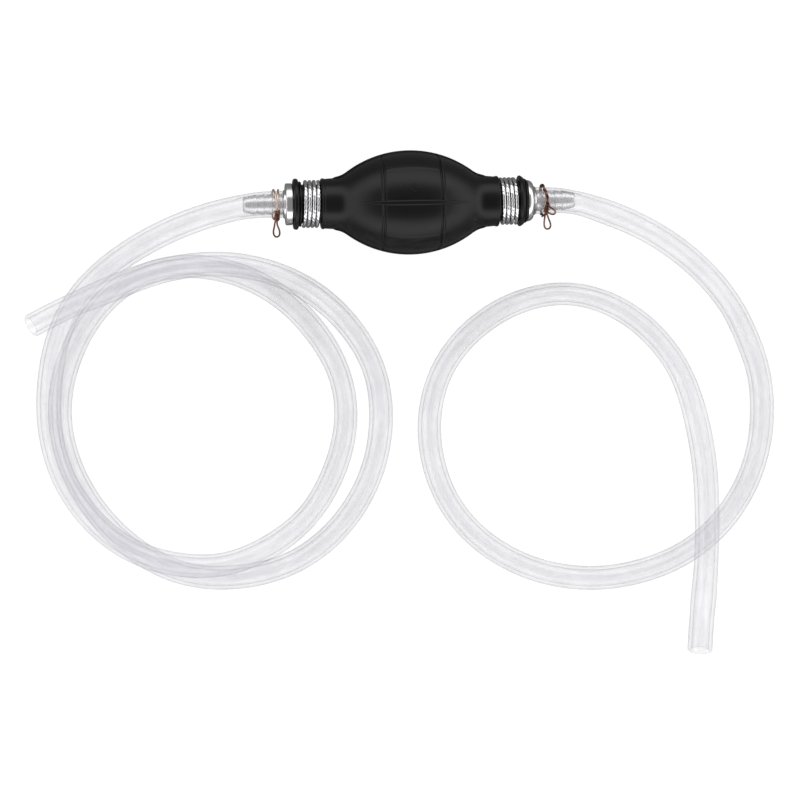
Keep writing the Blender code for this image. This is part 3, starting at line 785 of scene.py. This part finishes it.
def surface_point(x, arc, lift):
    """A point on the back upper side of the barrel, arc metres down from the top line."""
    radius = barrel_radius(x)
    theta = arc / radius
    reach = radius + lift
    return Vector((x, reach * math.sin(theta), AXIS_Z + reach * math.cos(theta)))


ARROW_TIP = (-2.6, 7.4)            # millimetres: along the bulb, and down from its top line
ARROW_ENDS = (((8.6, 7.4), ARROW_TIP), (ARROW_TIP, (0.6, 9.6)), (ARROW_TIP, (0.6, 5.2)))
ARROW_WIRE = 0.38 * MM
ARROW_SUNK = 0.10 * MM
ARROW_STEPS = 12


def make_arrow():
    """A plain raised arrow that points the way the water goes."""
    for number, (start, end) in enumerate(ARROW_ENDS):
        path = []
        for step in range(ARROW_STEPS + 1):
            t = step / ARROW_STEPS
            x = (start[0] + (end[0] - start[0]) * t) * MM
            arc = (start[1] + (end[1] - start[1]) * t) * MM
            path.append(surface_point(x, arc, -ARROW_SUNK))
        stroke = round_bar(f"flow_arrow_{number + 1}", path, ARROW_WIRE, MATERIALS["bulb"], sides=10,
                           first_side=(0.0, 0.5, 0.8))
        follow_wall(stroke)


# ================================================================ necks and fittings

RING_AT = {1: 53.6 * MM, -1: 54.7 * MM}
RING_CORNERS = {                   # millimetres: along from the ring's place, radius, rounding
    -1: ((-1.25, 9.8, 0.1), (1.25, 9.8, 0.1), (1.25, 11.8, 0.7), (0.3, 12.3, 0.9),
         (-0.9, 12.1, 0.8), (-1.25, 11.0, 0.3)),
    1: ((-1.25, 9.8, 0.1), (1.35, 9.8, 0.1), (1.35, 11.1, 0.5), (0.5, 11.7, 0.4),
        (-0.3, 12.3, 0.7), (-1.25, 12.1, 0.6)),
}
BINDING_TURNS = 3.49
BINDING_PITCH = 2.07 * MM
BINDING_WIRE = 0.92 * MM
BINDING_REACH = BOUND + 1.25 * MM
BINDING_MIDDLE = 47.45 * MM
BINDING_STEPS = 340                # for each turn
STRAND_RIDGE = 0.055               # how deep the twist of the wire shows, and the length of a twist
STRAND_LAY = 2.1 * MM


def make_neck_ring(name, side):
    """The rubber ring round the end of a neck: rounder on the outlet, sloped on the inlet."""
    corners = [(RING_AT[side] + x * MM, r * MM, rounding * MM) for x, r, rounding in RING_CORNERS[side]]
    ring = lathe(f"{name}_end_ring", rounded(corners), MATERIALS["ring"], side)
    place(ring, "ring_rubber", f"{name}_neck_ring")


def make_binding(name, side):
    """The twisted wire wound round a neck: four passes over the top, its ends bent down at the sides."""
    steps = round(BINDING_TURNS * BINDING_STEPS)
    path = []
    for i in range(steps + 1):
        turn = (i / steps - 0.5) * BINDING_TURNS
        angle = 1.5 * math.pi + turn * 2.0 * math.pi
        path.append(Vector((side * (BINDING_MIDDLE + turn * BINDING_PITCH),
                            BINDING_REACH * math.cos(angle),
                            AXIS_Z + BINDING_REACH * math.sin(angle))))
    coil = round_bar(f"{name}_binding_coil", path, BINDING_WIRE, MATERIALS["binding"], sides=18,
                     first_side=(1.0, 0.0, 0.0), lobe=STRAND_RIDGE, lay=STRAND_LAY)
    place(coil, "binding_wire", f"{name}_wire_binding")


FLANGES = {                        # millimetres: distance from the middle, radius, rounding
    -1: ((56.5, 10.0, 0.35), (59.6, 10.0, 0.45), (59.6, 7.0, 0.2)),
    1: ((56.5, 10.0, 0.3), (57.0, 10.0, 0.4), (58.3, 9.55, 0.9), (59.3, 8.6, 0.8), (59.6, 7.2, 0.5)),
}


SLEEVE = 7.3
SLEEVE_GROOVE = 6.7
TOOTH_CRESTS = (4.9, 4.9, 4.9, 4.8)
TOOTH_ROOTS = (4.05, 4.05, 4.05, 3.7)
SPRING_ENDS = {1: (38.28, 46.10), -1: (-52.92, -45.10)}    # millimetres, the retainer's end first
SPRING_WIRE = 0.25 * MM
SPRING_REACH = 2.2 * MM
SPRING_TURNS = 6.0
SPRING_CLOSED = 0.5
SPRING_STEPS = 240


def fitting_outline(side):
    """Sleeve with two grooves, flange, hub and four barb teeth, then back through the bore."""
    corners = [(34.6, 5.6, 0.1), (34.6, 6.8, 0.2), (35.6, SLEEVE, 0.2)]
    for start in (44.5, 48.5):
        corners += [(start, SLEEVE, 0.1), (start + 0.3, SLEEVE_GROOVE, 0.1),
                    (start + 1.8, SLEEVE_GROOVE, 0.1), (start + 2.1, SLEEVE, 0.1)]
    corners += [(56.5, SLEEVE, 0.1), *FLANGES[side], (60.6, 6.7, 0.25), (60.6, 4.3, 0.2)]
    for (low, high), crest, root in zip(TEETH, TOOTH_CRESTS, TOOTH_ROOTS):
        corners += [(low, crest, 0.12), (high, root, 0.10)]
    corners += [(79.7, 3.3, 0.3), (79.7, 2.5, 0.2), (55.0, 2.5, 0.1), (55.0, 5.6, 0.1)]
    return rounded([(x * MM, r * MM, rounding * MM) for x, r, rounding in corners])


def make_fitting(name, side):
    outline = fitting_outline(side)
    fitting = lathe(f"{name}_barbed_fitting", outline, MATERIALS["fitting"], side, sharp=28.0)
    place(fitting, "fitting_metal", f"{name}_fitting")


def spring_rise(turn, length):
    """How far along an uncompressed spring a turn is: slow over the closed turn at each end."""
    if turn < 1.0:
        return SPRING_CLOSED * turn
    if turn > SPRING_TURNS - 1.0:
        return length - SPRING_CLOSED * (SPRING_TURNS - turn)
    open_share = (turn - 1.0) / (SPRING_TURNS - 2.0)
    return SPRING_CLOSED + (length - 2.0 * SPRING_CLOSED) * open_share


def make_spring(name, side):
    """The valve spring: open turns between two closed end turns."""
    low, high = SPRING_ENDS[side]
    length = high - low
    path = []
    for i in range(SPRING_STEPS + 1):
        turn = SPRING_TURNS * i / SPRING_STEPS
        along = low + 0.25 + spring_rise(turn, length) * (length - 0.5) / length
        angle = 2.0 * math.pi * turn
        path.append(Vector((along * MM, SPRING_REACH * math.cos(angle),
                            AXIS_Z + SPRING_REACH * math.sin(angle))))
    spring = round_bar(f"{name}_valve_coil", path, SPRING_WIRE, MATERIALS["spring"], sides=10,
                       first_side=(1.0, 0.0, 0.0))
    place(spring, "spring_steel", f"{name}_valve_spring")
    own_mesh(spring)


# ================================================================ hose clips

CLIP_WIRE = 0.43 * MM
AROUND = HOSE_OVER_BARB + CLIP_WIRE + 0.05 * MM     # a wire's middle where it lies on the hose
KNOT_REACH = AROUND + 1.0 * MM
KNOT_STEPS = 20                    # for each turn
CROSSED_AT = -64.1 * MM
CROSSED_SWAY = 1.6 * MM            # the two turns part by this much and lift where they cross
CROSSED_LIFT = 0.95 * MM
PAIR_HALF = 0.42 * MM              # half the distance between the wires of the twisted pair
PAIR_TWISTS = 7.0


def on_hose(x, degrees, reach):
    """A point at x, so many degrees up from the front side, at a distance from the pump's axis."""
    angle = math.radians(degrees)
    return Vector((x, -reach * math.cos(angle), AXIS_Z + reach * math.sin(angle)))


def free_wire(points, step=0.3 * MM):
    """A smooth path through a few (x, y, height over the axis) points in millimetres."""
    lifted = [(x, y, z + AXIS_Z / MM) for x, y, z in points]
    return evenly(smooth_curve(lifted, 0.1 * MM), step)[0]


def knot(name, x, drift, high, low, turns, thick):
    """Wire wound tightly on itself, lying on the hose from high to low degrees."""
    path = []
    for i in range(turns * KNOT_STEPS + 1):
        part = i / (turns * KNOT_STEPS)
        angle = 2.0 * math.pi * turns * part
        middle = x + drift * part
        reach = KNOT_REACH + thick * math.sin(angle)
        path.append(on_hose(middle + thick * math.cos(angle), high + (low - high) * part, reach))
    wound = round_bar(f"{name}_clip_knot", path, CLIP_WIRE, MATERIALS["clip_painted_shade"], sides=12)
    place(wound, "clip_wire")


def clip_piece(name, part, path, look):
    """One length of a clip's wire."""
    wire = round_bar(f"{name}_clip_{part}", path, CLIP_WIRE, MATERIALS[look], sides=12,
                     first_side=(1.0, 0.0, 0.0))
    place(wire, "clip_wire")
    return wire


def make_crossed_clip():
    """Left: two turns that cross over on top, a knot at the front and a drop-shaped loop."""
    path = []
    for i in range(145):
        degrees = 34.0 + 5.0 * i
        sway = CROSSED_SWAY * math.cos(math.radians(degrees + 90.0) / 2.0)
        over = CROSSED_LIFT * smooth(1.6 - abs(degrees - 450.0) / 45.0)
        path.append(on_hose(CROSSED_AT + sway, degrees, AROUND + over))
    # The band takes the copper wire's copy painted as lit; the knot and loop take the copy with painted
    # shade.
    band = clip_piece("outlet", "band", path, "clip_painted_lit")
    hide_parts("outlet_hose_clip")
    knot("outlet", CROSSED_AT + 0.2 * MM, -0.1 * MM, 70.0, 24.0, 5, 0.95 * MM)
    drop = free_wire((
        (-64.4, -6.9, 3.6), (-64.8, -8.3, 2.6), (-65.1, -10.2, 1.9), (-65.5, -12.2, 1.4),
        (-65.5, -14.0, 1.1), (-64.4, -15.4, 1.0), (-63.0, -14.9, 1.1), (-62.6, -13.4, 1.3),
        (-63.0, -11.6, 1.6), (-63.7, -9.8, 2.2), (-63.9, -8.2, 3.1), (-63.9, -6.8, 4.4)))
    clip_piece("outlet", "loop", drop, "clip_painted_shade")


def make_twisted_clip():
    """Right: a twisted pair once round the hose, a knot, a hook to the side and a long tail loop."""
    # Every piece of this clip takes the copper wire's copy with painted shade.
    for strand in (0.0, 180.0):
        path = []
        for i in range(241):
            degrees = 62.0 + 1.5 * i
            slant = smooth((degrees - 330.0) / 80.0) - smooth((degrees - 92.0) / 62.0)
            x = 65.6 + 1.4 * slant
            turn = math.radians(strand + degrees * PAIR_TWISTS)
            path.append(on_hose(x * MM + PAIR_HALF * math.cos(turn), degrees,
                                AROUND + PAIR_HALF + PAIR_HALF * math.sin(turn)))
        strand_piece = clip_piece("inlet", f"strand_{int(strand)}", path, "clip_painted_shade")
        if strand == 0.0:
            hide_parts("inlet_hose_clip")
    knot("inlet", 65.6 * MM, -0.9 * MM, 76.0, 46.0, 4, 0.75 * MM)
    hook = free_wire((
        (65.7, -2.4, 7.6), (67.2, -3.4, 7.4), (68.8, -4.6, 6.7), (69.6, -5.6, 6.0),
        (69.2, -6.5, 5.4), (68.0, -6.6, 5.1), (66.6, -6.1, 5.6), (65.5, -5.3, 6.2)))
    clip_piece("inlet", "hook", hook, "clip_painted_shade")
    tail = free_wire((
        (65.2, -4.6, 6.6), (64.8, -6.6, 5.2), (64.6, -9.2, 3.6), (64.6, -11.6, 2.6),
        (65.2, -13.2, 2.1), (66.4, -13.7, 1.9), (67.6, -12.8, 2.0), (67.7, -11.4, 2.5),
        (66.9, -9.4, 3.4), (66.0, -7.4, 4.6), (65.4, -5.6, 5.9)))
    clip_piece("inlet", "tail", tail, "clip_painted_shade")


# ================================================================ stage

TABLE_REACH = 6.0
SKY_LIGHT = 1.60
GAP_DARKNESS = 0.86
LOWEST = 0.02                      # keeps the slopes below finite near the horizon


def make_stage():
    """The wide flat top of a light table, level with the lowest point of the object."""
    reach = TABLE_REACH
    verts = [(-reach, -reach, 0.0), (reach, -reach, 0.0), (reach, reach, 0.0), (-reach, reach, 0.0)]
    floor = mesh_object("lit_table_top", verts, [(0, 1, 2, 3)], MATERIALS["floor"])


def make_sky():
    """A studio: two wide soft lights at the sides, a dark gap overhead and a dim horizon."""
    world = bpy.data.worlds.new("studio")
    bpy.context.scene.world = world
    world.use_nodes = True
    nodes = Nodes(world.node_tree)
    way = nodes.add("ShaderNodeTexCoord").outputs["Generated"]
    x, y, z = nodes.add("ShaderNodeSeparateXYZ", {"Vector": way}).outputs
    height = nodes.math("MAXIMUM", z, LOWEST)
    across = nodes.math("DIVIDE", nodes.math("ABSOLUTE", y), height)
    along = nodes.math("DIVIDE", nodes.math("ABSOLUTE", x), height)
    in_gap = nodes.ramp(nodes.math("MULTIPLY", across, 0.5), (0.40, 1.0), (0.54, 0.0))
    near_top = nodes.ramp(nodes.math("MULTIPLY", along, 0.4), (0.36, 1.0), (0.60, 0.0))
    dark = nodes.math("MULTIPLY", nodes.math("MULTIPLY", in_gap, near_top), GAP_DARKNESS)
    horizon = nodes.ramp(z, (LOWEST, 0.30), (0.28, 1.0))
    light = nodes.math("MULTIPLY", nodes.math("SUBTRACT", 1.0, dark), horizon)
    seen = nodes.add("ShaderNodeLightPath").outputs["Is Camera Ray"]
    strength = nodes.math("MAXIMUM", nodes.math("MULTIPLY", light, SKY_LIGHT), seen)
    back = nodes.add("ShaderNodeBackground", {"Color": WHITE, "Strength": strength})
    nodes.add("ShaderNodeOutputWorld", {"Surface": back.outputs[0]})


def finish_valves():
    """The hidden seats, balls and retainers keep their CAD shapes and get their finishes."""
    looks = (("valve_seat", "seat"), ("valve_ball", "ball"), ("spring_retainer", "retainer"))
    for name in SIDES:
        for node, look in looks:
            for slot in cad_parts[f"{name}_{node}"].material_slots:
                slot.material = MATERIALS[look]


# ================================================================ the scene

make_camera()
make_stage()
make_sky()
make_hose("inlet", INLET_ROUTE)
make_hose("outlet", OUTLET_ROUTE)
make_bulb()
make_arrow()
for side_name, side_sign in SIDES.items():
    make_neck_ring(side_name, side_sign)
    make_binding(side_name, side_sign)
    make_fitting(side_name, side_sign)
    make_spring(side_name, side_sign)
make_crossed_clip()
make_twisted_clip()
finish_valves()
bpy.context.scene.view_settings.view_transform = "Standard"
bpy.context.scene.cycles.transparent_max_bounces = 40
